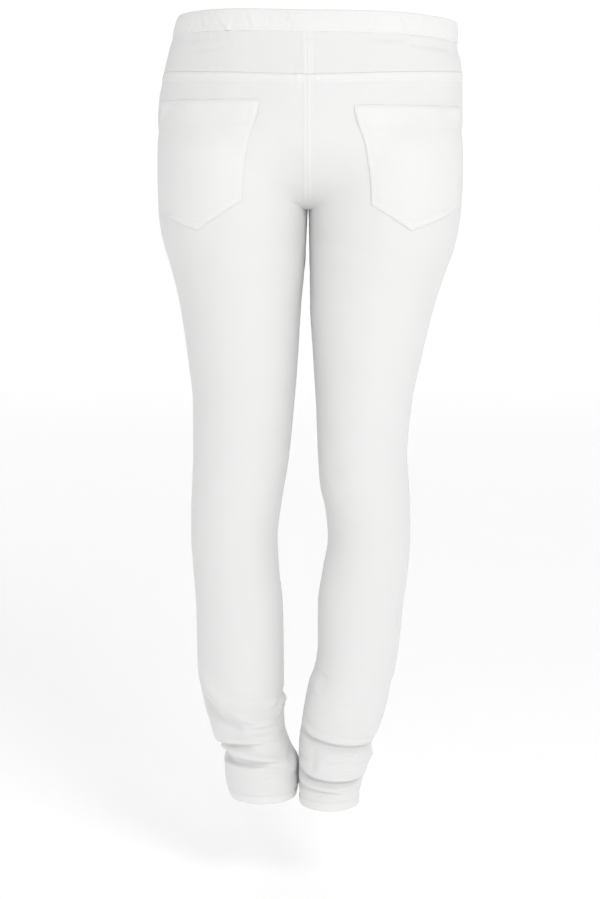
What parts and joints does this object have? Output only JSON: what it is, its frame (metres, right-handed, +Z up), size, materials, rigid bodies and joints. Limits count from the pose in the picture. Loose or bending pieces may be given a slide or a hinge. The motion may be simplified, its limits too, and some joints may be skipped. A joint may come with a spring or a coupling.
{
  "type": "jeggings",
  "caption": "Slim ankle-length pull-on jeggings in white stretch twill, standing hollow as worn, with an elastic waist, back yoke and patch pockets.",
  "frame": {"origin": "middle of the waist, 8 mm below the upper edge of the waist casing at centre back", "axes": "+Z up the body, the front faces -Y, the left leg as worn is on +X"},
  "size_m": [0.3535, 0.2274, 0.9194],
  "materials": {
    "twill": "soft white stretch twill, matt with a slight sheen",
    "thread": "white polyester topstitching thread"
  },
  "bodies": {
    "root": {"waistband_back": "twill", "waistband_front": "twill", "yoke_left": "twill", "yoke_right": "twill", "back_leg_left": "twill", "back_leg_right": "twill", "front_leg_left": "twill", "front_leg_right": "twill", "pocket_left": "twill", "pocket_right": "twill"}
  },
  "joints": []
}
